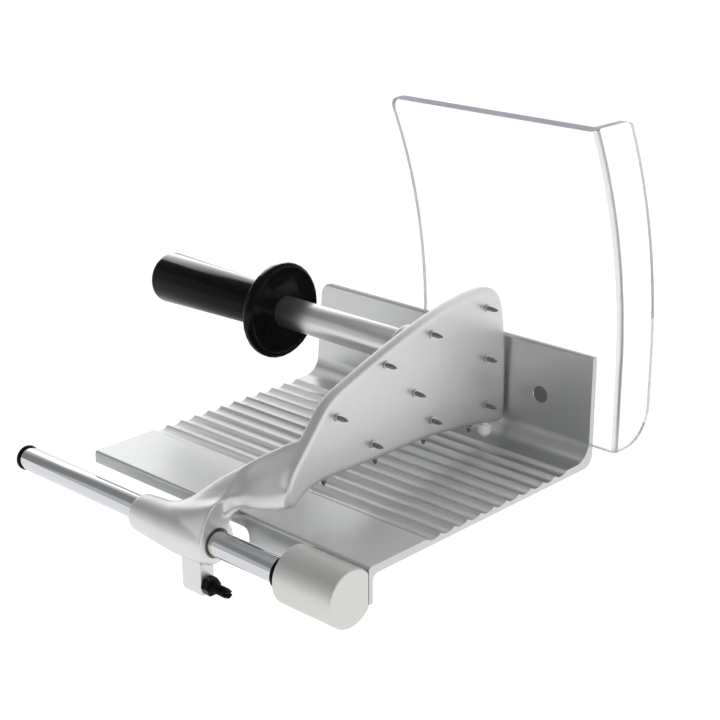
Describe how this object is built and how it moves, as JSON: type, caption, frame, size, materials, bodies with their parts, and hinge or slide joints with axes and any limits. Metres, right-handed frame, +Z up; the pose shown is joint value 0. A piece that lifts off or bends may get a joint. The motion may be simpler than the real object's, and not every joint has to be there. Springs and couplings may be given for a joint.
{
  "type": "slicer food carriage",
  "caption": "Grooved aluminium food carriage of a kitchen slicer, with a clear hand guard and a spiked pusher that slides and swings on a chrome rod.",
  "frame": {"origin": "centre of the tray's flat underside, where it sits on the slicer's carriage arm", "axes": "+X is the feed direction towards the blade, along the rod; +Y runs from the rod to the fence; +Z is up"},
  "size_m": [0.307, 0.2657, 0.2605],
  "materials": {
    "tray_aluminium": "satin anodised",
    "cast_aluminium": "fine satin casting",
    "blasted_aluminium": "bead blasted",
    "tube_aluminium": "satin drawn",
    "chrome": "polished",
    "stainless": "turned",
    "bronze": "machined",
    "black_plastic": "glossy",
    "black_steel": "blackened",
    "black_rubber": "matte",
    "white_plastic": "translucent",
    "clear_plastic": "clear polished"
  },
  "bodies": {
    "carriage": {"carriage_tray": "tray_aluminium", "hand_guard": "clear_plastic", "guard_screw_right": "black_steel", "guard_screw_left": "black_steel", "guard_nut_right": "stainless", "guard_nut_left": "stainless", "rod_bracket": "blasted_aluminium", "bracket_screw_right": "stainless", "bracket_screw_left": "stainless", "pusher_rod": "chrome", "rod_set_screw": "black_steel", "rod_buffer": "black_rubber", "rod_end_cap": "black_plastic"},
    "bush_carrier": {"hub_bush_front": "bronze", "hub_bush_rear": "bronze"},
    "pusher": {"pusher_casting": "cast_aluminium", "face_spike_1": "stainless", "face_spike_2": "stainless", "face_spike_3": "stainless", "face_spike_4": "stainless", "face_spike_5": "stainless", "face_spike_6": "stainless", "face_spike_7": "stainless", "face_spike_8": "stainless", "face_spike_9": "stainless", "edge_spike_1": "stainless", "edge_spike_2": "stainless", "edge_spike_3": "stainless", "edge_spike_4": "stainless", "glide_foot": "white_plastic", "handle_tube": "tube_aluminium", "handle_disc": "black_plastic", "handle_grip": "black_plastic", "handle_stud": "stainless", "lock_nut": "black_steel"},
    "stop_screw": {"stop_screw": "black_steel"}
  },
  "joints": [
    {"name": "pusher_slide", "type": "slide", "parent": "carriage", "child": "bush_carrier", "axis": [1, 0, 0], "range_m": [-0.111, 0.0515]},
    {"name": "pusher_swing", "type": "hinge", "parent": "bush_carrier", "child": "pusher", "pos_m": [0, -0.1155, -0.0092], "axis": [1, 0, 0], "range_deg": [0, 55]},
    {"name": "stop_screw_adjust", "type": "slide", "parent": "pusher", "child": "stop_screw", "axis": [1, 0, 0], "range_m": [-0.006, 0.006]}
  ]
}
